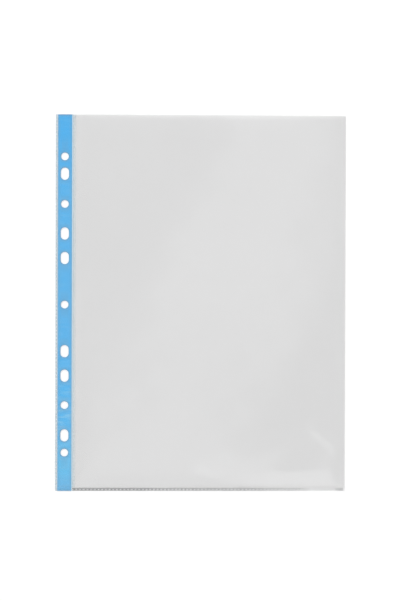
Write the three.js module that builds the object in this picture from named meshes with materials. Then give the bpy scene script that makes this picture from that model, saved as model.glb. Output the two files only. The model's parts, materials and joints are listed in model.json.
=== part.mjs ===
// Clear punched document pocket for A4 sheets, lying face up with its mouth towards +Y.
// Two clear films are joined by a fold on the right and by crimped welds at the foot and the left.
// A blue punched strip lies between the films' left margins and takes a binder's rings.
// Millimetres, +Z up. The origin is under the middle of the pocket, on the face it lies on.
import * as THREE from "three";

// Whole pocket and its film
const POCKET_WIDTH = 235.5;
const POCKET_HEIGHT = 305;
const FILM_THICKNESS = 0.12;

// Binding edge, from the outer weld inwards
const EDGE_WELD_WIDTH = 2;
const STRIP_WIDTH = 11.3;
const STRIP_THICKNESS = 0.2;

// Punched holes: each offset is met both above and below the middle of the pattern
const HOLE_LINE_FROM_EDGE = 7.5;
const PATTERN_MIDDLE_FROM_FOOT = 151;
const ROUND_HOLE_WIDTH = 6.2;
const SLOT_WIDTH = 6.6;
const SLOT_LENGTH = 9.9;
const ROUND_HOLE_OFFSETS = [81.5, 120];
const SLOT_OFFSETS = [37.75, 57.6, 106];

// Crimped welds: ribbed jaws press a groove into the fused film at every pitch
const SEAM_WELD_WIDTH = 2.4;
const FOOT_WELD_HEIGHT = 3;
const GROOVE_PITCH = 3;
const GROOVE_LENGTH = 1.4;
const GROOVE_DEPTH = 0.05;

// Side fold, and the clearances at the two lines where the film bends
const FOLD_LIP = 1.2;
const CREASE_GAP = 0.7;
const FRONT_FILM_CLEARANCE = 0.3;

// Steps on the round stretches
const HOLE_STEPS = 8;
const FOLD_STEPS = 4;

// Places that follow from the sizes, from the pocket's left edge, foot and underside
const FRONT_FILM_BOTTOM = FILM_THICKNESS + STRIP_THICKNESS;
const STACK_THICKNESS = FRONT_FILM_BOTTOM + FILM_THICKNESS;
const STRIP_RIGHT = EDGE_WELD_WIDTH + STRIP_WIDTH;
const LEAF_LEFT = STRIP_RIGHT + CREASE_GAP;
const SEAM_RIGHT = LEAF_LEFT + SEAM_WELD_WIDTH;
const FOLD_RADIUS = STACK_THICKNESS / 2;
const FOLD_LEFT = POCKET_WIDTH - FOLD_RADIUS - FOLD_LIP;

const X = new THREE.Vector3(1, 0, 0);
const Y = new THREE.Vector3(0, 1, 0);
const Z = new THREE.Vector3(0, 0, 1);

// Smooth, see-through polypropylene film.
function clearFilm() {
  return new THREE.MeshStandardMaterial({
    color: 0xe9edef,
    roughness: 0.16,
    metalness: 0,
    transparent: true,
    opacity: 0.4,
  });
}

// The same film where it is fused and ribbed, which makes it milky.
function fusedFilm() {
  return new THREE.MeshStandardMaterial({
    color: 0xc9ced2,
    roughness: 0.35,
    metalness: 0,
    transparent: true,
    opacity: 0.7,
  });
}

// Light blue strip plastic.
function bluePlastic() {
  return new THREE.MeshStandardMaterial({ color: 0x62b6ee, roughness: 0.4, metalness: 0 });
}

// A rectangle from corner to corner.
function rectangle(left, foot, right, top) {
  return new THREE.Shape().moveTo(left, foot).lineTo(right, foot).lineTo(right, top).lineTo(left, top);
}

// A round hole on the hole line.
function roundHole(offset) {
  const middle = PATTERN_MIDDLE_FROM_FOOT + offset;
  return new THREE.Path().absarc(HOLE_LINE_FROM_EDGE, middle, ROUND_HOLE_WIDTH / 2, 0, 2 * Math.PI);
}

// A slot on the hole line, its long side up the pocket and its ends half round.
function slot(offset) {
  const middle = PATTERN_MIDDLE_FROM_FOOT + offset;
  const endCentre = (SLOT_LENGTH - SLOT_WIDTH) / 2;
  return new THREE.Path()
    .absarc(HOLE_LINE_FROM_EDGE, middle + endCentre, SLOT_WIDTH / 2, 0, Math.PI)
    .absarc(HOLE_LINE_FROM_EDGE, middle - endCentre, SLOT_WIDTH / 2, Math.PI, 2 * Math.PI);
}

// The eleven holes of the binding edge, the same through every layer.
function punchedHoles() {
  const bothWays = (offsets) => offsets.flatMap((offset) => [offset, -offset]);
  return [0, ...bothWays(ROUND_HOLE_OFFSETS)].map(roundHole).concat(bothWays(SLOT_OFFSETS).map(slot));
}

// A flat layer of the given outline, with or without holes.
function layer(outline, thickness, holes = []) {
  outline.holes = holes;
  return new THREE.ExtrudeGeometry(outline, {
    depth: thickness,
    bevelEnabled: false,
    curveSegments: HOLE_STEPS,
  });
}

// The long side of a crimped weld: one film's thickness with a groove at every pitch.
function crimpedSide(length) {
  const count = Math.floor((length - GROOVE_LENGTH) / GROOVE_PITCH) + 1;
  const firstMiddle = (length - (count - 1) * GROOVE_PITCH) / 2;
  const grooveFloor = FILM_THICKNESS - GROOVE_DEPTH;
  const side = new THREE.Shape().moveTo(0, 0).lineTo(length, 0).lineTo(length, FILM_THICKNESS);
  for (let i = count - 1; i >= 0; i--) {
    const middle = firstMiddle + i * GROOVE_PITCH;
    side
      .lineTo(middle + GROOVE_LENGTH / 2, FILM_THICKNESS)
      .lineTo(middle + GROOVE_LENGTH / 2, grooveFloor)
      .lineTo(middle - GROOVE_LENGTH / 2, grooveFloor)
      .lineTo(middle - GROOVE_LENGTH / 2, FILM_THICKNESS);
  }
  return side.lineTo(0, FILM_THICKNESS);
}

// A crimped weld that runs up the pocket, its grooves across it.
function uprightWeld(width, length) {
  const weld = new THREE.ExtrudeGeometry(crimpedSide(length), { depth: width, bevelEnabled: false });
  return weld.applyMatrix4(new THREE.Matrix4().makeBasis(Y, Z, X));
}

// A profile drawn in X and Z, carried up the pocket for the given length.
function carriedUp(profile, length) {
  const carried = new THREE.ExtrudeGeometry(profile, {
    depth: length,
    bevelEnabled: false,
    curveSegments: FOLD_STEPS,
  });
  carried.applyMatrix4(new THREE.Matrix4().makeBasis(X, Z, Y.clone().negate()));
  return carried.translate(0, length, 0);
}

// The fold where the one web of film turns over: two lips and the half-round turn between them.
function foldProfile() {
  const innerRadius = FOLD_RADIUS - FILM_THICKNESS;
  const innerTop = STACK_THICKNESS - FILM_THICKNESS;
  return new THREE.Shape()
    .moveTo(0, 0)
    .lineTo(FOLD_LIP, 0)
    .absarc(FOLD_LIP, FOLD_RADIUS, FOLD_RADIUS, -Math.PI / 2, Math.PI / 2)
    .lineTo(0, STACK_THICKNESS)
    .lineTo(0, innerTop)
    .lineTo(FOLD_LIP, innerTop)
    .absarc(FOLD_LIP, FOLD_RADIUS, innerRadius, Math.PI / 2, -Math.PI / 2, true)
    .lineTo(0, FILM_THICKNESS);
}

// A named piece, its lower left corner at the given place.
function piece(name, geometry, material, x, y, z) {
  const mesh = new THREE.Mesh(geometry, material);
  mesh.name = name;
  mesh.position.set(x, y, z);
  return mesh;
}

// Strip, margins and outer weld: what a binder's rings hold.
function bindingEdge() {
  const backMargin = layer(rectangle(0, 0, STRIP_RIGHT, POCKET_HEIGHT), FILM_THICKNESS, punchedHoles());
  const strip = layer(
    rectangle(EDGE_WELD_WIDTH, 0, STRIP_RIGHT, POCKET_HEIGHT),
    STRIP_THICKNESS,
    punchedHoles(),
  );
  const frontMargin = layer(
    rectangle(EDGE_WELD_WIDTH, FOOT_WELD_HEIGHT, STRIP_RIGHT, POCKET_HEIGHT),
    FILM_THICKNESS,
    punchedHoles(),
  );
  const edgeWeld = uprightWeld(EDGE_WELD_WIDTH, POCKET_HEIGHT);
  const footWeld = carriedUp(crimpedSide(STRIP_WIDTH), FOOT_WELD_HEIGHT);
  return new THREE.Group().add(
    piece("back_margin_film", backMargin, clearFilm(), 0, 0, 0),
    piece("binding_strip", strip, bluePlastic(), 0, 0, FILM_THICKNESS),
    piece("front_margin_film", frontMargin, clearFilm(), 0, 0, FRONT_FILM_BOTTOM),
    piece("edge_weld", edgeWeld, fusedFilm(), 0, 0, FILM_THICKNESS),
    piece("margin_foot_weld", footWeld, fusedFilm(), EDGE_WELD_WIDTH, 0, FRONT_FILM_BOTTOM),
  );
}

// Back film with the two welds and the fold that close the pocket on three sides.
function pocketBack() {
  const film = layer(rectangle(LEAF_LEFT, 0, FOLD_LEFT, POCKET_HEIGHT), FILM_THICKNESS);
  const seamWeld = uprightWeld(SEAM_WELD_WIDTH, POCKET_HEIGHT - FOOT_WELD_HEIGHT);
  const footWeld = carriedUp(crimpedSide(FOLD_LEFT - LEAF_LEFT), FOOT_WELD_HEIGHT);
  const fold = carriedUp(foldProfile(), POCKET_HEIGHT);
  return new THREE.Group().add(
    piece("back_film", film, clearFilm(), 0, 0, 0),
    piece("seam_weld", seamWeld, fusedFilm(), LEAF_LEFT, FOOT_WELD_HEIGHT, FILM_THICKNESS),
    piece("foot_weld", footWeld, fusedFilm(), LEAF_LEFT, 0, FILM_THICKNESS),
    piece("side_fold", fold, clearFilm(), FOLD_LEFT, 0, 0),
  );
}

// Front film: it bends up from the foot weld's inner edge when the mouth opens.
function pocketFront() {
  const outline = rectangle(
    SEAM_RIGHT + FRONT_FILM_CLEARANCE,
    FOOT_WELD_HEIGHT + FRONT_FILM_CLEARANCE,
    FOLD_LEFT - FRONT_FILM_CLEARANCE,
    POCKET_HEIGHT,
  );
  return piece("front_film", layer(outline, FILM_THICKNESS), clearFilm(), 0, 0, FRONT_FILM_BOTTOM);
}

const pocket = new THREE.Group();
pocket.add(bindingEdge(), pocketBack(), pocketFront());
pocket.position.set(-POCKET_WIDTH / 2, -POCKET_HEIGHT / 2, 0);

export default pocket;
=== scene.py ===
# %% [markdown]
# A clear punched pocket for A4 sheets, step by step.
# On the real object two layers of thin clear film are folded at the right and welded at the foot and the
# left, and a blue plastic strip with ring holes runs down the binding side.
# Everything here is a surface worked out with numpy, because film is only as convincing as its gentle waves,
# its pressed welds and its clean punched rims, and all of those are formulas.

import json
import math

import bmesh
import bpy
import numpy as np
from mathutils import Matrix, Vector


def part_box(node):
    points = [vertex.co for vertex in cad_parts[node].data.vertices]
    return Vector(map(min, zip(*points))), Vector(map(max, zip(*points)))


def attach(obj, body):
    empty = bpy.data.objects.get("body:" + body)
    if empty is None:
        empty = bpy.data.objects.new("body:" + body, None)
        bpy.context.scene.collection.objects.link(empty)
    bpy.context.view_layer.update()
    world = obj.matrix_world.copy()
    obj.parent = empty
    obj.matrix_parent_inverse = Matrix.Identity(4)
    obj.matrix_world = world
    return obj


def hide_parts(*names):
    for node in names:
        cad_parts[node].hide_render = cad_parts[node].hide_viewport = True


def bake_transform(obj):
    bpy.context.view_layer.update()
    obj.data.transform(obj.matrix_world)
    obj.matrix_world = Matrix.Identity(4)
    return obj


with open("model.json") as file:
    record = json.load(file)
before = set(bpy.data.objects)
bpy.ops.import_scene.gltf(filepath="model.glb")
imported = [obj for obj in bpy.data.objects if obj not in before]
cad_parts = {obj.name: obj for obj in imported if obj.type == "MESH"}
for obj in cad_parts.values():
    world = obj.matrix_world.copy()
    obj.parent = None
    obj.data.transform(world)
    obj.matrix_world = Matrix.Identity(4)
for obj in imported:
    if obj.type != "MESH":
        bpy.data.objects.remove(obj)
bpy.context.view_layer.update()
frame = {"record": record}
MM = 0.001

# %% [markdown]
# The camera looks straight down on the pocket, as in the photograph, with a long lens.
# The photograph's left side is a hair taller than its right side, so the camera stands a little to the left:
# a turn of a good degree about the pocket's long direction gives the same corners.

# %% Camera
CAMERA_DISTANCE = 1.2
LENS_MM = 88.53
CAMERA_TURN_DEG = (-0.37, -1.26, 0.18)
AIM_POINT = (-0.00015, 0.00212, 0.0)

camera = bpy.data.objects.new("camera", bpy.data.cameras.new("camera"))
bpy.context.scene.collection.objects.link(camera)
camera.data.lens = LENS_MM
camera.rotation_euler = [math.radians(angle) for angle in CAMERA_TURN_DEG]
bpy.context.view_layer.update()
towards_camera = camera.rotation_euler.to_matrix().col[2]
camera.location = [aim + CAMERA_DISTANCE * way for aim, way in zip(AIM_POINT, towards_camera)]
bpy.context.scene.camera = camera
bpy.context.scene.view_settings.view_transform = "Standard"
print("camera at", [round(value, 3) for value in camera.location])

# %% [markdown]
# Materials are built from nodes. A few small helpers keep that readable: one makes a node and fills its
# sockets by name, and the others stand for a sum, a range, a mix of colours or shaders and a list of stops.

# %% Node helpers
WHITE = (1, 1, 1, 1)


def add_node(tree, kind, settings=(), **sockets):
    """One node. settings are its own options, sockets its inputs, with an underscore for each space."""
    made = tree.nodes.new(kind)
    for option, value in dict(settings).items():
        setattr(made, option, value)
    for socket, value in sockets.items():
        made.inputs[socket.replace("_", " ")].default_value = value
    return made


def calculate(tree, operation, first, second):
    """A math node that works on two values, each a socket or a plain number."""
    made = tree.nodes.new("ShaderNodeMath")
    made.operation = operation
    for slot, value in enumerate((first, second)):
        if isinstance(value, bpy.types.NodeSocket):
            tree.links.new(value, made.inputs[slot])
        else:
            made.inputs[slot].default_value = value
    return made.outputs[0]


def colour_mix(tree, share, *colours):
    """A mix of two colours, each a socket or four plain numbers, by a socket that gives the share."""
    mix = add_node(tree, "ShaderNodeMix", {"data_type": "RGBA"})
    tree.links.new(share, mix.inputs["Factor"])
    for socket, colour in zip([one for one in mix.inputs if one.type == "RGBA"], colours):
        if isinstance(colour, bpy.types.NodeSocket):
            tree.links.new(colour, socket)
        else:
            socket.default_value = colour
    return next(one for one in mix.outputs if one.type == "RGBA")


def range_node(tree, reach, settings=()):
    """A node that turns the first value of reach into 0 and the second into 1."""
    made = add_node(tree, "ShaderNodeMapRange", settings)
    made.inputs["From Min"].default_value, made.inputs["From Max"].default_value = reach
    return made


def shader_mix(tree, share, first, second):
    """A mix of two shader nodes, by a socket that gives the share of the second one."""
    mix = tree.nodes.new("ShaderNodeMixShader")
    tree.links.new(share, mix.inputs[0])
    tree.links.new(first.outputs[0], mix.inputs[1])
    tree.links.new(second.outputs[0], mix.inputs[2])
    return mix


def set_stops(ramp, stops):
    """Give a colour ramp its stops, each a position, a colour and an alpha."""
    elements = ramp.color_ramp.elements
    elements.remove(elements[1])
    for number, (position, colour, alpha) in enumerate(stops):
        stop = elements.new(position) if number else elements[0]
        stop.position = position
        stop.color = (*colour, alpha)


def new_material(name):
    """An empty node material and its output node."""
    material = bpy.data.materials.new(name)
    material.use_nodes = True
    material.node_tree.nodes.clear()
    return material, material.node_tree, material.node_tree.nodes.new("ShaderNodeOutputMaterial")


# %% [markdown]
# Extruded film is never perfectly clear. It is slightly cloudier in broad patches, it has faint lines along
# the way it left the machine, and its gloss is broken by a fine grain. Film, welds and strip all share this,
# so it is one node group with named inputs, and each material decides how much of it shows.

# %% Extruded plastic group
CLOUD_SCALE = 7.0
CLOUD_DETAIL = 2.0
CLOUD_SOFTNESS = 0.45
CLOUD_RANGE = (0.3, 0.7)
LINE_STRETCH = (420.0, 9.0, 420.0)
LINE_DETAIL = 2.0
LINE_ROUGHENING = 0.05
GRAIN_SCALE = 900.0
GRAIN_DETAIL = 1.0

plastic_group = bpy.data.node_groups.new("extruded_plastic", "ShaderNodeTree")
for socket in ("Cloud Low", "Cloud High", "Gloss Roughness"):
    made = plastic_group.interface.new_socket(socket, in_out="INPUT", socket_type="NodeSocketFloat")
    made.min_value, made.max_value = 0.0, 1.0
for socket in ("Cloud", "Roughness", "Height"):
    plastic_group.interface.new_socket(socket, in_out="OUTPUT", socket_type="NodeSocketFloat")

group_in = plastic_group.nodes.new("NodeGroupInput")
group_out = plastic_group.nodes.new("NodeGroupOutput")
place = add_node(plastic_group, "ShaderNodeTexCoord")
clouds = add_node(plastic_group, "ShaderNodeTexNoise", Scale=CLOUD_SCALE, Detail=CLOUD_DETAIL)
clouds.inputs["Roughness"].default_value = CLOUD_SOFTNESS
stretch = add_node(plastic_group, "ShaderNodeMapping", Scale=LINE_STRETCH)
lines = add_node(plastic_group, "ShaderNodeTexNoise", Scale=1.0, Detail=LINE_DETAIL)
grain = add_node(plastic_group, "ShaderNodeTexNoise", Scale=GRAIN_SCALE, Detail=GRAIN_DETAIL)
cloud_range = range_node(plastic_group, CLOUD_RANGE)
links = plastic_group.links
links.new(place.outputs["Object"], clouds.inputs["Vector"])
links.new(place.outputs["Object"], stretch.inputs["Vector"])
links.new(stretch.outputs["Vector"], lines.inputs["Vector"])
links.new(place.outputs["Object"], grain.inputs["Vector"])
links.new(clouds.outputs["Fac"], cloud_range.inputs["Value"])
links.new(group_in.outputs["Cloud Low"], cloud_range.inputs["To Min"])
links.new(group_in.outputs["Cloud High"], cloud_range.inputs["To Max"])
links.new(cloud_range.outputs["Result"], group_out.inputs["Cloud"])
roughened = calculate(plastic_group, "MULTIPLY", lines.outputs["Fac"], LINE_ROUGHENING)
links.new(
    calculate(plastic_group, "ADD", group_in.outputs["Gloss Roughness"], roughened),
    group_out.inputs["Roughness"],
)
relief = calculate(plastic_group, "ADD", grain.outputs["Fac"], lines.outputs["Fac"])
links.new(relief, group_out.inputs["Height"])
print("group", plastic_group.name, "made with", len(plastic_group.nodes), "nodes")

# %% [markdown]
# A material uses the group through two helpers. The first sets how cloudy and how rough the plastic is, and
# the second turns the group's height into a bump, which tilts reflections without moving the surface.

# %% Plastic in a material
def plastic_node(tree, roughness, cloud=(0.0, 0.0)):
    """The extruded plastic group. cloud is the least and the greatest share of haze."""
    plastic = add_node(tree, "ShaderNodeGroup", {"node_tree": plastic_group}, Gloss_Roughness=roughness)
    plastic.inputs["Cloud Low"].default_value, plastic.inputs["Cloud High"].default_value = cloud
    return plastic


def grained_normal(tree, plastic, strength, depth):
    """The surface's normal, broken by the plastic's own lines and grain of the given depth in metres."""
    bump = add_node(tree, "ShaderNodeBump", Strength=strength, Distance=depth)
    tree.links.new(plastic.outputs["Height"], bump.inputs["Height"])
    return bump.outputs["Normal"]


group_sockets = plastic_group.interface.items_tree
print("inputs of the group:", [socket.name for socket in group_sockets if socket.in_out == "INPUT"])

# %% [markdown]
# Clear film could be made as refracting glass, but a sheet a tenth of a millimetre thick bends nothing that
# is seen through it. It only does three things: it lets most light straight through, it mirrors some of it,
# more at a slant, and a little is caught as haze. So the shader mixes a Transparent, a Glossy and a weak
# Principled part. A ray meets both faces of the sheet, and only the face turned towards it does the work of
# both, which is why the mirrored share is that of two surfaces, one minus (one minus Fresnel) squared.

# %% Film shader
FILM_IOR = 1.49
FILM_GRAIN = 0.000006
FILM_BUMP = 0.35
HAZE_ROUGHNESS = 0.4


def film_material(name, haze, haze_colour, roughness, pressed=None):
    """Clear film. haze is its low and high share, and pressed what is added where the attribute is 1."""
    material, tree, output = new_material(name)
    plastic = plastic_node(tree, roughness, haze)
    share = plastic.outputs["Cloud"]
    if pressed is not None:
        # the attribute holds pressing and cuts, and also painted shade round the holes and along the foot
        # weld's line
        marks = add_node(tree, "ShaderNodeAttribute", {"attribute_name": "pressed"})
        pressed_share = calculate(tree, "MULTIPLY", marks.outputs["Fac"], pressed)
        share = calculate(tree, "ADD", share, pressed_share)
    clear = add_node(tree, "ShaderNodeBsdfTransparent", Color=WHITE)
    milk = add_node(tree, "ShaderNodeBsdfPrincipled", Base_Color=(*haze_colour, 1), Roughness=HAZE_ROUGHNESS)
    body = shader_mix(tree, share, clear, milk)
    gloss = add_node(tree, "ShaderNodeBsdfAnisotropic", Color=WHITE)
    tree.links.new(plastic.outputs["Roughness"], gloss.inputs["Roughness"])
    tree.links.new(grained_normal(tree, plastic, FILM_BUMP, FILM_GRAIN), gloss.inputs["Normal"])
    fresnel = add_node(tree, "ShaderNodeFresnel", IOR=FILM_IOR)
    one_passes = calculate(tree, "SUBTRACT", 1.0, fresnel.outputs[0])
    both_pass = calculate(tree, "MULTIPLY", one_passes, one_passes)
    mirrored = calculate(tree, "SUBTRACT", 1.0, both_pass)
    facing = shader_mix(tree, mirrored, body, gloss)
    sides = tree.nodes.new("ShaderNodeNewGeometry")
    behind = add_node(tree, "ShaderNodeBsdfTransparent", Color=WHITE)
    whole = shader_mix(tree, sides.outputs["Backfacing"], facing, behind)
    tree.links.new(whole.outputs[0], output.inputs["Surface"])
    return material


one_surface = ((FILM_IOR - 1) / (FILM_IOR + 1)) ** 2
print(f"seen straight on, the film mirrors {1 - (1 - one_surface) ** 2:.1%} of the light")

# %% [markdown]
# The same film looks different in five places. In the panels it is almost clear. In the punched margins it
# is a little rougher from the press, and its punched edges are greyer with painted shade round the holes. At
# the foot it is fused and grey in the crimps, and its line along the weld's top edge is partly painted shade.
# The upright welds take a breath of the strip's blue, and so does the web along the crease, which is seen
# against the strip's cut edge.

# %% Five films
clear_film = film_material("clear_film", haze=(0.031, 0.038), haze_colour=(0.4, 0.4, 0.4), roughness=0.06)
# greyer haze at the punched edges: painted shade round the holes
margin_film = film_material(
    "margin_film", haze=(0.02, 0.03), haze_colour=(0.35, 0.35, 0.35), roughness=0.14, pressed=0.1
)
# greyer crimps, and the foot weld's dark line, which is partly painted shade
fused_film = film_material(
    "fused_film", haze=(0.03, 0.05), haze_colour=(0.32, 0.33, 0.34), roughness=0.2, pressed=0.42
)
ribbed_film = film_material(
    "ribbed_film", haze=(0.05, 0.07), haze_colour=(0.62, 0.86, 1.0), roughness=0.2, pressed=0.42
)
crease_film = film_material("crease_film", haze=(0.7, 0.74), haze_colour=(0.7, 0.9, 1.0), roughness=0.2)
films = (clear_film, margin_film, fused_film, ribbed_film, crease_film)
print("films:", [len(made.node_tree.nodes) for made in films], "nodes each")

# %% [markdown]
# The strip is a plain coloured plastic, opaque at this thickness. Its blue changes gently along its length,
# palest near the foot and deepest near the top. A list of tones along the strip gives that, read
# as a smooth change from one to the next, and each tone also says how far the streaks show there.

# %% Strip tones
STRIP_TONES = (
    # share of the length from the foot, colour, how far the streaks show
    (0.02, (0.14, 0.58, 0.95), 0.25),
    (0.06, (0.128, 0.63, 1.0), 0.35),
    (0.2, (0.09, 0.57, 1.0), 1.0),
    (0.32, (0.075, 0.55, 1.0), 0.35),
    (0.45, (0.098, 0.545, 0.97), 0.15),
    (0.75, (0.093, 0.55, 0.98), 0.2),
    (0.95, (0.052, 0.525, 1.0), 0.1),
)
STRIP_HALF_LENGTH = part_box("binding_strip")[1][1]

blue_strip, tree, output = new_material("blue_strip")
place = add_node(tree, "ShaderNodeTexCoord")
axes = add_node(tree, "ShaderNodeSeparateXYZ")
tree.links.new(place.outputs["Object"], axes.inputs[0])
along = range_node(tree, (-STRIP_HALF_LENGTH, STRIP_HALF_LENGTH))
tree.links.new(axes.outputs["Y"], along.inputs["Value"])
tones = add_node(tree, "ShaderNodeValToRGB")
tones.color_ramp.interpolation = "EASE"
set_stops(tones, STRIP_TONES)
tree.links.new(along.outputs["Result"], tones.inputs["Fac"])
print(len(STRIP_TONES), "tones over", round(2 * STRIP_HALF_LENGTH / MM), "mm of strip")

# %% [markdown]
# Slanting streaks show where the margin was bent a little, and noise stretched along a turned axis draws
# them. Round the holes and at its cut edges the blue turns darker and greyer, partly the cut edges' own tone
# and partly painted shade round the holes, and where that is comes with the mesh as an attribute.

# %% Strip surface
STREAK_BLUE = (0.3, 0.7, 1.0, 1)
STREAK_TURN = math.radians(-32)
STREAK_STRETCH = (70.0, 330.0, 70.0)
STREAK_DETAIL = 1.5
STREAK_RANGE = (0.45, 0.75)
# darker, greyer blue near cuts: painted shade round the holes and the cut edges' own tone
CUT_AND_SHADE_BLUE = (0.17, 0.47, 0.75, 1)
STRIP_GRAIN = 0.00002
STRIP_BUMP = 0.4
STRIP_ROUGHNESS = 0.38

slant = add_node(tree, "ShaderNodeMapping", Scale=STREAK_STRETCH, Rotation=(0, 0, STREAK_TURN))
tree.links.new(place.outputs["Object"], slant.inputs["Vector"])
streak_noise = add_node(tree, "ShaderNodeTexNoise", Scale=1.0, Detail=STREAK_DETAIL)
tree.links.new(slant.outputs["Vector"], streak_noise.inputs["Vector"])
streak_range = range_node(tree, STREAK_RANGE)
tree.links.new(streak_noise.outputs["Fac"], streak_range.inputs["Value"])
streaked = calculate(tree, "MULTIPLY", streak_range.outputs["Result"], tones.outputs["Alpha"])
# how near a cut is: the darker blue there is painted shade round the holes and the cut edges' own tone
cut = add_node(tree, "ShaderNodeAttribute", {"attribute_name": "pressed"})
pigment = colour_mix(tree, streaked, tones.outputs["Color"], STREAK_BLUE)
pigment = colour_mix(tree, cut.outputs["Fac"], pigment, CUT_AND_SHADE_BLUE)
plastic = plastic_node(tree, STRIP_ROUGHNESS)
surface = add_node(tree, "ShaderNodeBsdfPrincipled")
tree.links.new(pigment, surface.inputs["Base Color"])
tree.links.new(plastic.outputs["Roughness"], surface.inputs["Roughness"])
tree.links.new(grained_normal(tree, plastic, STRIP_BUMP, STRIP_GRAIN), surface.inputs["Normal"])
tree.links.new(surface.outputs[0], output.inputs["Surface"])
print(blue_strip.name, "made with", len(tree.nodes), "nodes")

# %% [markdown]
# Every layer of the pocket is a sheet with two faces. A sheet can be thickened by a modifier, but then its
# two faces always run side by side, and a weld is flat below and ribbed on top. So a sheet is two grids of
# points, one for each face, joined by a narrow wall all round. The result is closed, and every face of it
# points outwards because the corners are always taken in the same turning direction.

# %% Grids of points
def grid_indices(rows, columns):
    """The number of each point of a grid, row by row."""
    return np.arange(rows * columns).reshape(rows, columns)


def grid_faces(index):
    """Four corners for each square of a grid, anticlockwise seen from above when rows run up the pocket."""
    corners = (index[:-1, :-1], index[:-1, 1:], index[1:, 1:], index[1:, :-1])
    return np.stack(corners, axis=-1).reshape(-1, 4)


def border_loop(index):
    """The border of a grid as one anticlockwise loop that starts at the lower left corner."""
    return np.concatenate([index[0, :-1], index[:-1, -1], index[-1, :0:-1], index[:0:-1, 0]])


sample = grid_indices(3, 4)
print("3 by 4 points:", len(grid_faces(sample)), "squares,", len(border_loop(sample)), "border points")

# %% [markdown]
# A mesh made from arrays is filled in one stroke, without a loop over its points. Walls meet the two faces
# at a right angle, so edges sharper than fifty degrees stay crisp while the waves are shaded smoothly.

# %% Sheets as meshes
SHARP_ANGLE = math.radians(50)


def mesh_object(name, points, faces, flat_from, material):
    """A mesh in millimetres made an object in metres. Faces from number flat_from on are shaded flat."""
    mesh = bpy.data.meshes.new(name)
    mesh.vertices.add(len(points))
    mesh.vertices.foreach_set("co", (points * MM).astype(np.float32).ravel())
    mesh.loops.add(faces.size)
    mesh.loops.foreach_set("vertex_index", faces.astype(np.int32).ravel())
    mesh.polygons.add(len(faces))
    mesh.polygons.foreach_set("loop_start", np.arange(0, faces.size, 4, dtype=np.int32))
    mesh.polygons.foreach_set("use_smooth", np.arange(len(faces)) < flat_from)
    mesh.update(calc_edges=True)
    mesh.validate()
    mesh.set_sharp_from_angle(angle=SHARP_ANGLE)
    mesh.materials.append(material)
    made = bpy.data.objects.new(name, mesh)
    bpy.context.scene.collection.objects.link(made)
    print(f"{name}: {len(points)} points, {len(faces)} faces")
    return made


def sheet_object(name, x, y, low, high, material):
    """A closed sheet over the grid of x and y, between the heights low and high, all in millimetres."""
    index = grid_indices(*x.shape)
    beneath = index + index.size
    loop = border_loop(index)
    following = np.roll(loop, -1)
    walls = np.stack([loop + index.size, following + index.size, following, loop], axis=-1)
    faces = np.concatenate([grid_faces(index), grid_faces(beneath)[:, ::-1], walls])
    upper = np.stack([x, y, high + 0 * x], axis=-1).reshape(-1, 3)
    lower = np.stack([x, y, low + 0 * x], axis=-1).reshape(-1, 3)
    return mesh_object(name, np.concatenate([upper, lower]), faces, len(faces) - len(walls), material)


def mark_pressed_and_shaded(made, pressed):
    """How far the plastic is pressed or cut at each point, painted shade included, from 0 to 1, kept as a
    mesh attribute.
    """
    marks = made.data.attributes.new("pressed", "FLOAT", "POINT")
    marks.data.foreach_set("value", pressed.ravel().astype(np.float32))


def even_grid(left, right, foot, top, step_x, step_y):
    """Grid points at even steps of about the given size, as arrays of x and of y."""
    across = np.linspace(left, right, max(2, round((right - left) / step_x) + 1))
    upwards = np.linspace(foot, top, max(2, round((top - foot) / step_y) + 1))
    return np.meshgrid(across, upwards)


def smooth_step(value):
    """0 below 0, 1 above 1, and between them three squares minus two cubes, so it starts and ends level."""
    t = np.clip(value, 0, 1)
    return t * t * (3 - 2 * t)


print(f"edges sharper than {math.degrees(SHARP_ANGLE):.0f} degrees stay crisp")

# %% [markdown]
# The places of all seams come from the frame, so nothing here has to be fitted. The strip lies on the back
# film, so its underside gives the film's thickness too. Layers that touch on the real object keep a hair's
# breadth between them, because two faces in one place can't be drawn cleanly.

# %% Places from the frame
HAIR = 0.01


def node_box(node):
    """A frame node's lowest and highest corner, in millimetres."""
    low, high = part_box(node)
    return np.array(low) / MM, np.array(high) / MM


(edge_left, foot, _), (strip_left, mouth, _) = node_box("edge_weld")
(_, _, film), (strip_right, _, strip_high) = node_box("binding_strip")
(leaf_left, weld_top, _), (seam_right, _, fused_high) = node_box("seam_weld")
(fold_left, _, _), (fold_right, _, stack_high) = node_box("side_fold")
(_, _, front_low), _ = node_box("front_film")
film_middle = (seam_right + fold_left) / 2
print(f"strip {strip_left:.1f} to {strip_right:.1f}, leaf {leaf_left:.1f} to {fold_right:.1f} mm")
print(f"film {film:.2f} mm thick, whole stack {stack_high:.2f} mm")

# %% [markdown]
# The front film is what the eye reads as clear plastic. Held on three sides and free at the mouth, it rises
# a little from the welds, bows gently, gapes at the mouth and keeps a soft dent or two from handling. Each
# of these is a smooth bump or wave, and an envelope that is nothing at the welds holds them down there.

# %% Front film held down
RISE_LENGTH = 14.0
FOLD_RISE_LENGTH = 4.0


def held_down(x, y):
    """0 on the three closed sides and near 1 away from them: one minus a fading exponential for each side."""
    from_left = 1 - np.exp(-(x - seam_right) / RISE_LENGTH)
    from_right = 1 - np.exp(-(fold_left - x) / FOLD_RISE_LENGTH)
    from_foot = 1 - np.exp(-(y - weld_top) / RISE_LENGTH)
    return from_left * from_right * from_foot


print(f"one rise length from the seam weld the film is {held_down(seam_right + RISE_LENGTH, mouth):.0%} free")

# %% [markdown]
# Handling and the hot jaws have left two marks. At the lower right there is a short ridge, the kind that a
# thumb presses into film, and above the foot weld lies a low cushion. Both are bell curves, the first of the
# distance from a line, and the second of the distance from a point with two widths.

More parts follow.
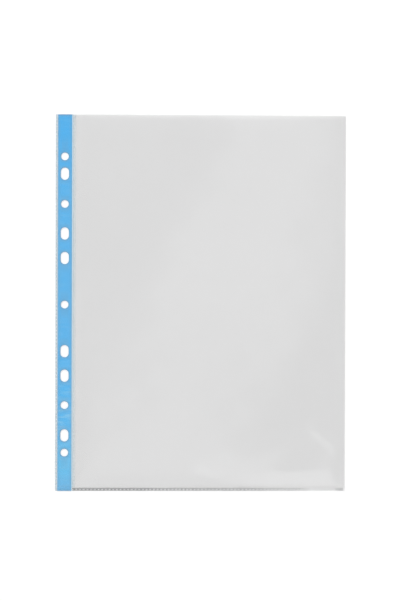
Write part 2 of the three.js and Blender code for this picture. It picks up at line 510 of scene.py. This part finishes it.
# %% Crease and cushion
CREASE_START = np.array([93.0, -102.5])
CREASE_END = np.array([112.0, -118.5])
CREASE_HEIGHT = 0.6
CREASE_WIDTH = 4.0
BULGE_MIDDLE = (82.0, -140.0)
BULGE_REACH = (34.0, 8.0)
BULGE_HEIGHT = 0.45


def soft_crease(x, y):
    """A ridge along a short line: a bell curve of the distance from that line."""
    along = CREASE_END - CREASE_START
    length = np.hypot(*along)
    t = np.clip(((x - CREASE_START[0]) * along[0] + (y - CREASE_START[1]) * along[1]) / length**2, 0, 1)
    away = np.hypot(x - CREASE_START[0] - t * along[0], y - CREASE_START[1] - t * along[1])
    return CREASE_HEIGHT * np.exp(-((away / CREASE_WIDTH) ** 2))


def bulge(x, y):
    """A low cushion above the foot weld: a bell curve of two widths."""
    across = (x - BULGE_MIDDLE[0]) / BULGE_REACH[0]
    upwards = (y - BULGE_MIDDLE[1]) / BULGE_REACH[1]
    return BULGE_HEIGHT * np.exp(-(across**2 + upwards**2))


print(f"the ridge is {np.hypot(*(CREASE_END - CREASE_START)):.0f} mm long")

# %% [markdown]
# The lift of the film is the sum of its bow, its gape, its waves and these two marks, under the envelope.
# The long waves give the broad light and dark of the panel, and the short ones keep reflections from being
# too perfect. Close to the welds the film also climbs from the height where it is fused to its own.

# %% Front film shape
WELD_RISE_LENGTH = 2.5
BOW_HEIGHT = 0.9
MOUTH_GAPE = 0.7
WAVES = (
    # height mm, waves across, waves up, phase
    (0.35, 0.9, -0.7, 0.4),
    (0.22, 1.7, 0.9, 2.1),
    (0.10, 2.9, -2.2, 4.0),
    (0.05, 6.3, 4.6, 1.0),
    (0.035, -4.7, 8.9, 5.0),
)


def film_lift(x, y):
    """How far the front film stands above its place in the flat stack."""
    u = (x - seam_right) / (fold_left - seam_right)
    v = (y - weld_top) / (mouth - weld_top)
    waves = sum(
        height * (1 + np.sin(2 * math.pi * (across * u + upwards * v) + phase))
        for height, across, upwards, phase in WAVES
    )
    bow = BOW_HEIGHT * np.sin(math.pi * u) + MOUTH_GAPE * np.sin(math.pi * u) * v**3
    return held_down(x, y) * (waves + bow + soft_crease(x, y) + bulge(x, y))


def front_film_low(x, y):
    """The front film's lower face: fused height at the welds, the stack's height past them, plus the lift."""
    near_weld = np.minimum(x - seam_right, y - weld_top)
    released = smooth_step(near_weld / WELD_RISE_LENGTH)
    return film + HAIR + (front_low - film) * released + film_lift(x, y)


print(f"the front film is lifted {film_lift(film_middle, mouth):.1f} mm in the middle of the mouth")

# %% [markdown]
# When the mouth opens, the film stays joined to the seam weld and the fold and lifts in the middle. The
# frame moves the whole front as one flap, and the film is made as two halves that meet in the middle.

# %% Front film in two halves
FILM_STEP = 1.5
MEETING_TAPER = 9.0


def thinned(distances):
    """The film's thickness, drawn out to almost nothing where one of the distances to a joint line is 0."""
    nearest = np.minimum.reduce(distances)
    return HAIR + (film - 2 * HAIR) * smooth_step(nearest / MEETING_TAPER)


def front_half(name, left, right):
    """Half of the front film. It thins towards the lines where it goes on in another piece."""
    x, y = even_grid(left, right, weld_top, mouth, FILM_STEP, FILM_STEP)
    high = front_film_low(x, y) + film - HAIR
    thickness = thinned([x - left, right - x, y - weld_top])
    return sheet_object(name, x, y, high - thickness, high, clear_film)


halves = (
    ("front_film_left", seam_right, film_middle, seam_right),
    ("front_film_right", film_middle, fold_left, fold_left),
)
for name, left, right, closed_side in halves:
    half = front_half(name, left, right)
    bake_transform(half)
    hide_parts("front_film")

# %% [markdown]
# The back film lies on the table, so it is nearly flat. A tenth of a millimetre of wave is enough to break
# its reflection, and it never dips below the table or touches the film above it.

# %% Back film
BACK_WAVE = 0.07
BACK_SLANT = (1.3, 0.8)
BACK_PHASE = 1.0
BACK_WAVES_UP = 1.1


def back_film_low(x, y):
    """The back film's lower face: a slanting sine times an upward cosine, level at the closed sides."""
    u = (x - leaf_left) / (fold_left - leaf_left)
    v = (y - foot) / (mouth - foot)
    slanting = np.sin(2 * math.pi * (BACK_SLANT[0] * u + BACK_SLANT[1] * v) + BACK_PHASE)
    wave = 1 + slanting * np.cos(2 * math.pi * BACK_WAVES_UP * v)
    held = smooth_step((x - seam_right) / RISE_LENGTH) * smooth_step((fold_left - x) / RISE_LENGTH)
    return BACK_WAVE * wave * held * smooth_step((y - weld_top) / RISE_LENGTH)


x, y = even_grid(leaf_left, fold_left, foot, mouth, FILM_STEP, FILM_STEP)
low = back_film_low(x, y)
high = low + thinned([x - leaf_left, fold_left - x])
back_film = sheet_object("back_film_sheet", x, y, low, high, clear_film)
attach(back_film, "pocket")
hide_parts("back_film")

# %% [markdown]
# The fold is the same film turned over on itself. Its section is a letter U lying on its side, and carrying
# that section up the pocket gives the whole edge. The section is a closed ring of points: round the outside
# from the lower lip to the upper one, and back along the inside.

# %% Side fold
FOLD_TURN_STEPS = 16
FOLD_LENGTH_STEP = 2.5


def fold_section():
    """The fold's section as a closed ring of points: two half circles, and lips that thin inwards."""
    turn = np.linspace(-math.pi / 2, math.pi / 2, FOLD_TURN_STEPS + 1)
    radius = stack_high / 2
    inner = radius - film + HAIR
    centre = fold_right - radius
    outer_x = np.concatenate([[fold_left], centre + radius * np.cos(turn), [fold_left]])
    outer_z = np.concatenate([[0], radius + radius * np.sin(turn), [stack_high]])
    inner_x = np.concatenate([[fold_left], centre + inner * np.cos(turn[::-1]), [fold_left]])
    lip = radius - HAIR
    inner_z = np.concatenate([[radius + lip], radius + inner * np.sin(turn[::-1]), [radius - lip]])
    return np.concatenate([outer_x, inner_x]), np.concatenate([outer_z, inner_z])


def carried_section(name, section_x, section_z, start, end, step, material):
    """A closed ring of points carried along the pocket's length and shut at both ends by its own faces."""
    stations = np.linspace(start, end, round((end - start) / step) + 1)
    ring = len(section_x)
    points = np.empty((len(stations), ring, 3))
    points[..., 0], points[..., 1], points[..., 2] = section_x, stations[:, None], section_z
    here = grid_indices(len(stations), ring)
    onward = np.roll(here, -1, axis=1)
    sides = np.stack([here[:-1], here[1:], onward[1:], onward[:-1]], axis=-1).reshape(-1, 4)
    half = ring // 2
    outer, inner = np.arange(half), np.arange(ring - 1, half - 1, -1)
    cap = np.stack([outer[:-1], outer[1:], inner[1:], inner[:-1]], axis=-1)
    far_cap = cap[:, ::-1] + here[-1, 0]
    faces = np.concatenate([sides, cap, far_cap])
    return mesh_object(name, points.reshape(-1, 3), faces, len(sides), material)


fold = carried_section("side_fold_edge", *fold_section(), foot, mouth, FOLD_LENGTH_STEP, clear_film)
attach(fold, "pocket")
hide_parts("side_fold")

# %% [markdown]
# A weld is pressed by hot ribbed jaws, which leave a row of small raised beads at a pitch of three
# millimetres with pressed ground between them. On the surface that is a height: nothing in the ground, and
# a smooth dome for each bead. The same numbers are kept as an attribute, so that the material can make the
# pressed ground greyer than the beads, just where the shape has them.

# %% Weld shape
# millimetres, apart from the three shares
BEAD_PITCH = 3.0
BEAD_HALF_LENGTH = 1.25
BEAD_HEIGHT = 0.05
WELD_STEP = 0.25
LINE_HALF_WIDTH = 0.5
SHOULDER = 0.45
FOOT_BEAD_MIDDLE = 1.15
FOOT_BEAD_HALF_WIDTH = 0.95
UPRIGHT_BEAD_SHARE = 0.36
BEAD_PRESSED = 0.25
EDGE_PRESSED = 0.9


def bead_pattern(along, across, middle, half_width):
    """1 on top of a bead and 0 in the pressed ground: one minus the squared distance from its middle."""
    from_middle = (np.mod(along / BEAD_PITCH, 1) - 0.5) * BEAD_PITCH
    distance = (from_middle / BEAD_HALF_LENGTH) ** 2 + ((across - middle) / half_width) ** 2
    return smooth_step(1 - distance)


def weld_sheet(name, x, y, low_z, beads, pressed, material):
    """A flat sheet with raised beads, and how far each of its points is pressed, painted shade included."""
    high = low_z + film - HAIR - BEAD_HEIGHT + BEAD_HEIGHT * beads
    made = sheet_object(name, x, y, low_z, high, material)
    mark_pressed_and_shaded(made, np.stack([pressed, pressed]))
    return made


def upright_weld(name, left, right, low_y, strip_edge, fade, contrast):
    """A weld up the pocket: one row of beads, and a haze that fades with the distance from the strip."""
    x, y = even_grid(left, right, low_y, mouth, WELD_STEP, WELD_STEP)
    beads = bead_pattern(y, x, (left + right) / 2, (right - left) * UPRIGHT_BEAD_SHARE)
    haze = np.exp(-np.abs(x - strip_edge) / fade)
    return weld_sheet(name, x, y, film + HAIR, beads, haze + contrast * (0.5 - beads), ribbed_film)


def foot_weld(name, left, right, low_z, strengths):
    """A weld along the foot: a row of beads low down, a dark line above it, partly pressed and partly painted
    shade, and a soft shoulder.
    """
    x, y = even_grid(left, right, foot, weld_top, WELD_STEP, WELD_STEP)
    places, values, line_places = zip(*strengths)
    from_top = weld_top - y
    beads = bead_pattern(x, y - foot, FOOT_BEAD_MIDDLE, FOOT_BEAD_HALF_WIDTH)
    # the dark line: partly pressed, partly painted shade along the weld's top edge
    from_line = np.abs(from_top - np.interp(x, places, line_places))
    line = smooth_step(1 - from_line / LINE_HALF_WIDTH)
    ground = np.maximum(BEAD_PRESSED + (1 - BEAD_PRESSED) * (1 - beads), line)
    ground *= smooth_step((from_top - SHOULDER) / SHOULDER)
    ground *= EDGE_PRESSED + (1 - EDGE_PRESSED) * smooth_step(y - foot)
    return weld_sheet(name, x, y, low_z, beads, ground * np.interp(x, places, values), fused_film)


print(f"beads every {BEAD_PITCH} mm, {2 * BEAD_HALF_LENGTH} mm long and {BEAD_HEIGHT} mm high")

# %% [markdown]
# Four welds use that shape: one down the outer edge, one beside the strip, one along the foot, and the
# foot's short stretch over the strip. The foot weld has a sharp dark line above its beads, which is the
# darkest line of the whole pocket, partly pressed and partly painted shade along the weld's top edge. It
# grows weaker towards the fold, is almost nothing from 90 to 109 mm, where the clear weld is a painted
# highlight for the glint there, and comes back in a short dark patch at the end, so the strength of the
# foot weld is a short list of places and values along it, read as a line from one to the next.
# The upright welds are palest beside the strip and take a breath of its blue.

# %% Welds
FOOT_STRENGTHS = (
    # place from left to right in mm, strength, the line's distance below the weld's top edge in mm
    (-104.0, 1.45, 1.3),
    (-45.0, 1.4, 1.25),
    (-30.0, 1.05, 1.05),
    (40.0, 0.95, 1.0),
    (60.0, 0.6, 1.15),
    (80.0, 0.45, 1.25),
    # from 90 to 109 mm the weld is left clear: partly a painted highlight for the glint there
    (90.0, 0.02, 1.25),
    (109.0, 0.02, 1.6),
    (113.0, 0.6, 1.8),
)
# the same dark line over the strip, partly painted shade
MARGIN_FOOT_STRENGTHS = ((strip_left, 0.12, 1.2), (strip_right, 0.12, 1.2))
# how far the blue haze reaches from the strip in mm, and how much the beads stand out
EDGE_HAZE = (2.6, 0.3)
SEAM_HAZE = (1.1, 0.12)

edge_weld = upright_weld("edge_weld_crimps", edge_left, strip_left, foot, strip_left, *EDGE_HAZE)
seam_weld = upright_weld("seam_weld_crimps", leaf_left, seam_right, weld_top, leaf_left, *SEAM_HAZE)
foot_crimps = foot_weld("foot_weld_crimps", leaf_left, fold_left, film + HAIR, FOOT_STRENGTHS)
on_strip = strip_high + HAIR
margin_crimps = foot_weld(
    "margin_foot_weld_crimps", strip_left, strip_right, on_strip, MARGIN_FOOT_STRENGTHS
)
welds = (
    (edge_weld, "binding_edge", "edge_weld"),
    (seam_weld, "pocket", "seam_weld"),
    (foot_crimps, "pocket", "foot_weld"),
    (margin_crimps, "binding_edge", "margin_foot_weld"),
)
for weld, body, node in welds:
    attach(weld, body)
    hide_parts(node)

# %% [markdown]
# Strip and margins are punched with the same eleven holes. Cutting holes with a boolean leaves long thin
# faces, so each hole gets a cell of its own instead: rings of points run from the cell's border inwards to
# the hole, down its wall and back out underneath. A hole's outline as seen from its middle is a distance
# for each angle, which for a slot is a straight side up to a certain angle and a half circle past it.

# %% Hole pattern
# radius, and half the length of the straight sides, in mm
ROUND_HOLE = (3.1, 0.0)
SLOT_HOLE = (3.3, 1.65)
# keeps the division safe where a cosine is 0
TINY = 1e-9

holes = []
for opening in frame["record"]["physics"]["openings"]:
    centre = np.mean(opening["box_m"], axis=0) / MM
    radius, straight_half = SLOT_HOLE if opening["name"].startswith("slot") else ROUND_HOLE
    holes.append((centre[1], radius, straight_half))
    hole_line = centre[0]
holes.sort()
print(len(holes), "holes on the line x =", round(hole_line, 2), "mm")


def hole_reach(angle, radius, straight_half):
    """Distance from a slot's middle to its outline at each angle. A round hole has no straight part."""
    side = radius / np.maximum(np.abs(np.cos(angle)), TINY)
    on_side = side * np.abs(np.sin(angle)) <= straight_half
    rise = straight_half * np.abs(np.sin(angle))
    on_end = rise + np.sqrt(radius**2 - (straight_half * np.cos(angle)) ** 2)
    return np.where(on_side, side, on_end)


# %% [markdown]
# Punching leaves a sharp rim that is a little rounded on both faces. Near a cut the sheet turns darker and
# greyer, partly the cut edge's own tone and partly painted shade round the holes. The rings of a cell lie
# close together there, and how near each point is to a cut is kept as an attribute for the materials.

# %% Cells and cut edges
RIM_ROUNDING = 0.03
CELL_STEP = 1.0
CUT_FADE = 0.9
SIDE_CUT = 0.6
BORDER_BAND = 0.4
BORDER_FADED = 2.2


def cell_border(left, right, low_y, high_y):
    """The points round a cell, anticlockwise from the lower left corner, at even steps on each side."""
    x, y = even_grid(left, right, low_y, high_y, CELL_STEP, CELL_STEP)
    loop = border_loop(grid_indices(*x.shape))
    return x.ravel()[loop], y.ravel()[loop]


def punched_cell(border, hole, low_z, high_z):
    """Rings of points of one cell, from the upper border to the hole and back to the lower border."""
    border_x, border_y = border
    centre_y, radius, straight_half = hole
    angle = np.arctan2(border_y - centre_y, border_x - hole_line)
    rounded = hole_reach(angle, radius + RIM_ROUNDING, straight_half)
    wall = hole_reach(angle, radius, straight_half)
    far = np.hypot(border_x - hole_line, border_y - centre_y)
    band = far - BORDER_BAND
    fading = rounded + CUT_FADE
    halfway = (band + fading) / 2
    faded = np.maximum((band + halfway) / 2, far - BORDER_FADED)
    inwards = [far, band, faded, halfway, fading, rounded + CUT_FADE / 2, rounded]
    reach = np.array(inwards + [wall, wall] + inwards[::-1])
    edge_z = [high_z - RIM_ROUNDING, low_z + RIM_ROUNDING]
    height = np.array([high_z] * len(inwards) + edge_z + [low_z] * len(inwards))
    x = hole_line + reach * np.cos(angle)
    y = centre_y + reach * np.sin(angle)
    # the second array fades from the hole's wall: painted shade round the hole and the cut edge's own tone
    return np.stack([x, y, height[:, None] + 0 * x], axis=-1), np.exp(-(reach - wall) / CUT_FADE)


def cut_outline(points, left, right, low_y, high_y):
    """1 at a sheet's cut ends and less at its long sides, fading exponentially with the distance inwards."""
    to_end = np.minimum(points[:, 1] - low_y, high_y - points[:, 1])
    to_side = np.minimum(points[:, 0] - left, right - points[:, 0])
    return np.maximum(np.exp(-to_end / CUT_FADE), SIDE_CUT * np.exp(-to_side / CUT_FADE))


print(f"{CUT_FADE} mm from a cut its tone has fallen to {math.exp(-1):.0%}")

# %% [markdown]
# A whole sheet is its eleven cells one above the other, with a wall round the outside. Neighbouring cells
# have the same points on their common border, and merging those makes the sheet one closed surface.

# %% Punched sheets
MERGE_DISTANCE = 0.002


def punched_sheet(name, left, right, low_y, high_y, low_z, high_z, material):
    """A sheet with all the holes: one cell for each hole, and a wall round the outside."""
    middles = [centre for centre, _, _ in holes]
    borders = [low_y] + [(a + b) / 2 for a, b in zip(middles, middles[1:])] + [high_y]
    points, cuts_and_shade, faces, walls, count = [], [], [], [], 0
    for hole, cell_low, cell_high in zip(holes, borders, borders[1:]):
        border = cell_border(left, right, cell_low, cell_high)
        rings, rim_cut_and_shade = punched_cell(border, hole, low_z, high_z)
        here = grid_indices(*rings.shape[:2]) + count
        onward = np.roll(here, -1, axis=1)
        quads = np.stack([here[:-1], onward[:-1], onward[1:], here[1:]], axis=-1)
        faces.append(quads.reshape(-1, 4))
        outside = np.stack([here[-1], onward[-1], onward[0], here[0]], axis=-1)
        flat = rings[0]
        middle = (flat + np.roll(flat, -1, axis=0)) / 2
        kept = np.isclose(middle[:, 0], left) | np.isclose(middle[:, 0], right)
        kept |= np.isclose(middle[:, 1], low_y) | np.isclose(middle[:, 1], high_y)
        walls.append(outside[kept])
        points.append(rings.reshape(-1, 3))
        cuts_and_shade.append(rim_cut_and_shade.ravel())
        count += rings.shape[0] * rings.shape[1]
    points = np.concatenate(points)
    made = mesh_object(name, points, np.concatenate([*faces, *walls]), 0, material)
    mark_pressed_and_shaded(made, np.maximum(np.concatenate(cuts_and_shade), cut_outline(points, left, right, low_y, high_y)))
    merged = bmesh.new()
    merged.from_mesh(made.data)
    bmesh.ops.remove_doubles(merged, verts=merged.verts, dist=MERGE_DISTANCE * MM)
    merged.to_mesh(made.data)
    merged.free()
    return made


print("a cell's rings have", len(cell_border(edge_left, strip_right, holes[0][0], holes[1][0])[0]), "points")

# %% [markdown]
# Three sheets are punched alike and lie on one another: the back film's margin, which reaches out under the
# outer weld, the strip, and the front film's margin, which starts above the foot weld.

# %% Margins and strip
punched = (
    # name, node in the frame, left, foot, underside, top side, material
    ("back_margin_sheet", "back_margin_film", edge_left, foot, 0.0, film, margin_film),
    ("strip_sheet", "binding_strip", strip_left, foot, film + HAIR, strip_high, blue_strip),
    ("front_margin_sheet", "front_margin_film", strip_left, weld_top, on_strip, stack_high, margin_film),
)
for name, node, left, low_y, low_z, high_z, material in punched:
    sheet = punched_sheet(name, left, strip_right, low_y, mouth, low_z, high_z, material)
    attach(sheet, "binding_edge")
    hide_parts(node)

# %% [markdown]
# Between the strip and the seam weld the two films come together and form the line along which the leaf
# turns. It belongs to both sides, and this narrow web falls from the stack's height at the strip to the
# fused height at the seam weld.

# %% Crease web
WEB_STEP = 0.07
x, y = even_grid(strip_right, leaf_left, foot, mouth, WEB_STEP, FILM_STEP)
share = smooth_step((x - strip_right) / (leaf_left - strip_right))
web_high = stack_high + (fused_high - stack_high) * share
web = sheet_object("crease_web", x, y, 0.0, web_high, crease_film)
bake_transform(web)

# %% [markdown]
# A stage can look one way to the camera and another way to the light that bounces about. Two helpers tell
# them apart: which rays show the background to the eye, and how far from the pocket a point of the floor is.

# %% Rays and distances
def seen_share(tree):
    """1 for rays that show the background, from the camera or through glass."""
    path = tree.nodes.new("ShaderNodeLightPath")
    return calculate(tree, "MAXIMUM", path.outputs["Is Camera Ray"], path.outputs["Is Transmission Ray"])


def far_share(tree, away, reach):
    """0 at the first distance from the pocket's middle and 1 at the second, in metres, with a soft change."""
    share = range_node(tree, reach, {"interpolation_type": "SMOOTHSTEP"})
    tree.links.new(away.outputs["Value"], share.inputs["Value"])
    return share.outputs["Result"]


print(f"the pocket's corners are {math.hypot(fold_right, mouth) * MM:.2f} m from its middle")

# %% [markdown]
# The stage is a white floor just below the pocket. It is an ordinary matt surface, so that it takes the
# pocket's shadow, with a small glow added, stronger far away, where the lamps no longer reach it. Clear film
# on a white stage can hardly be seen, and in a studio one helps it with something darker to mirror. Here a
# broad ring of the floor is grey, but only in reflections. It comes in over the first pair of distances and
# goes out again over the second pair, which runs inwards.

# %% Floor
FLOOR_DROP = 0.2
FLOOR_THICKNESS = 10.0
FLOOR_HALF = 4000.0
FLOOR_WHITE = (0.92, 0.92, 0.92, 1)
FLOOR_MIRRORED = (0.35, 0.35, 0.35, 1)
GREY_FROM = (0.2, 0.42)
GREY_TO = (1.8, 0.9)
FLOOR_GLOW = 0.17
FAR_GLOW = 0.45
GLOW_REACH = (0.4, 2.2)

floor_material, tree, output = new_material("floor_white")
place = add_node(tree, "ShaderNodeTexCoord")
away = add_node(tree, "ShaderNodeVectorMath", {"operation": "LENGTH"})
tree.links.new(place.outputs["Object"], away.inputs[0])
matt = tree.nodes.new("ShaderNodeBsdfDiffuse")
path = tree.nodes.new("ShaderNodeLightPath")
ring = calculate(tree, "MULTIPLY", far_share(tree, away, GREY_FROM), far_share(tree, away, GREY_TO))
mirrored = calculate(tree, "MULTIPLY", path.outputs["Is Glossy Ray"], ring)
tree.links.new(colour_mix(tree, mirrored, FLOOR_WHITE, FLOOR_MIRRORED), matt.inputs["Color"])
glow = add_node(tree, "ShaderNodeEmission")
brighter = calculate(tree, "MULTIPLY", far_share(tree, away, GLOW_REACH), FAR_GLOW - FLOOR_GLOW)
strength = calculate(tree, "ADD", brighter, FLOOR_GLOW)
tree.links.new(calculate(tree, "MULTIPLY", seen_share(tree), strength), glow.inputs["Strength"])
both = tree.nodes.new("ShaderNodeAddShader")
tree.links.new(matt.outputs[0], both.inputs[0])
tree.links.new(glow.outputs[0], both.inputs[1])
tree.links.new(both.outputs[0], output.inputs["Surface"])
x, y = even_grid(-FLOOR_HALF, FLOOR_HALF, -FLOOR_HALF, FLOOR_HALF, FLOOR_HALF, FLOOR_HALF)
floor = sheet_object("floor", x, y, -FLOOR_DROP - FLOOR_THICKNESS, -FLOOR_DROP, floor_material)

# %% [markdown]
# The surround is white to the eye, while the light it gives the pocket stays plain, so that its own colours
# show as written. What the film mirrors from it is a dim ceiling with brighter bands lower down, as from the
# windows and panels of a studio, so its waves show as soft light and dark when it is seen from the side.

# %% Surround
SURROUND_LIGHT = 0.7
SURROUND_MIRRORED = (
    # height of the direction, from 0 at the horizon to 1 straight up, and the strength mirrored from there
    (0.0, 0.95),
    (0.12, 0.7),
    (0.24, 0.95),
    (0.36, 0.55),
    (0.5, 0.85),
    (0.68, 0.45),
    (0.9, 0.4),
)

world = bpy.data.worlds.new("surround")
bpy.context.scene.world = world
world.use_nodes = True
tree = world.node_tree
tree.nodes.clear()
path = tree.nodes.new("ShaderNodeLightPath")
direction = add_node(tree, "ShaderNodeTexCoord")
height = add_node(tree, "ShaderNodeSeparateXYZ")
tree.links.new(direction.outputs["Generated"], height.inputs[0])
bands = add_node(tree, "ShaderNodeValToRGB")
bands.color_ramp.interpolation = "EASE"
set_stops(bands, [(share, (strength,) * 3, 1) for share, strength in SURROUND_MIRRORED])
tree.links.new(height.outputs["Z"], bands.inputs["Fac"])
mirrored_or_plain = add_node(tree, "ShaderNodeMix", {"data_type": "FLOAT"})
mirrored_or_plain.inputs[2].default_value = SURROUND_LIGHT
tree.links.new(path.outputs["Is Glossy Ray"], mirrored_or_plain.inputs[0])
tree.links.new(bands.outputs["Color"], mirrored_or_plain.inputs[3])
plain = add_node(tree, "ShaderNodeBackground", Color=WHITE)
tree.links.new(mirrored_or_plain.outputs[0], plain.inputs["Strength"])
seen = add_node(tree, "ShaderNodeBackground", Color=WHITE, Strength=1.0)
world_output = tree.nodes.new("ShaderNodeOutputWorld")
surround = shader_mix(tree, seen_share(tree), plain, seen)
tree.links.new(surround.outputs[0], world_output.inputs["Surface"])
print("surround with", len(SURROUND_MIRRORED), "bands in reflections")

# %% [markdown]
# One large soft lamp from the upper left gives the pocket its shape. It isn't mirrored, because its image
# would blind the film when it is seen from the opposite side. The others are weak and are there to be
# mirrored. A long one almost overhead gives the soft slanting band of the photograph. One beyond the foot is
# caught only where the front film rises from the foot weld and by one side of the crease, and a very small
# one beside it gives the glint in the middle of the foot. The last one makes the faint light patches in the
# upper half, which the film's waves break up.

# %% Lamps
LAMPS = (
    # name, place in metres, size in metres, power in watts, turn about its own axis in degrees
    ("key_softbox", (-1.6, 2.08, 2.4), (2.9, 2.9), 54.0, 0.0),
    ("band_softbox", (0.068, -0.043, 1.5), (0.3, 0.9), 0.2, -27.0),
    ("foot_softbox", (0.21, -0.545, 1.5), (0.28, 0.42), 0.17, 10.0),
    ("glint_softbox", (0.037, -0.46, 1.5), (0.06, 0.16), 0.03, 0.0),
    ("patch_softbox", (0.16, 0.13, 1.5), (0.11, 0.36), 0.1, 0.0),
)
PATCH_BLUE = (0.88, 0.88, 1.0)


def area_lamp(name, place, aim, size, power, turn_deg):
    """A rectangular soft lamp at place that faces aim, turned about its own axis."""
    lamp = bpy.data.objects.new(name, bpy.data.lights.new(name, "AREA"))
    lamp.data.shape = "RECTANGLE"
    lamp.data.size, lamp.data.size_y = size
    lamp.data.energy = power
    lamp.visible_camera = False
    bpy.context.scene.collection.objects.link(lamp)
    lamp.location = place
    direction = np.array(place) - np.array(aim)
    tilt = math.acos(direction[2] / np.linalg.norm(direction))
    lamp.rotation_euler = (0, tilt, math.atan2(direction[1], direction[0]))
    lamp.rotation_euler.rotate_axis("Z", math.radians(turn_deg))
    return lamp


lamps = {}
for name, place, size, power, turn_deg in LAMPS:
    aim = (0, 0, 0) if name == "key_softbox" else (place[0], place[1], 0)
    lamps[name] = area_lamp(name, place, aim, size, power, turn_deg)
lamps["key_softbox"].visible_glossy = False
lamps["patch_softbox"].data.color = PATCH_BLUE
print("lamps:", list(lamps))
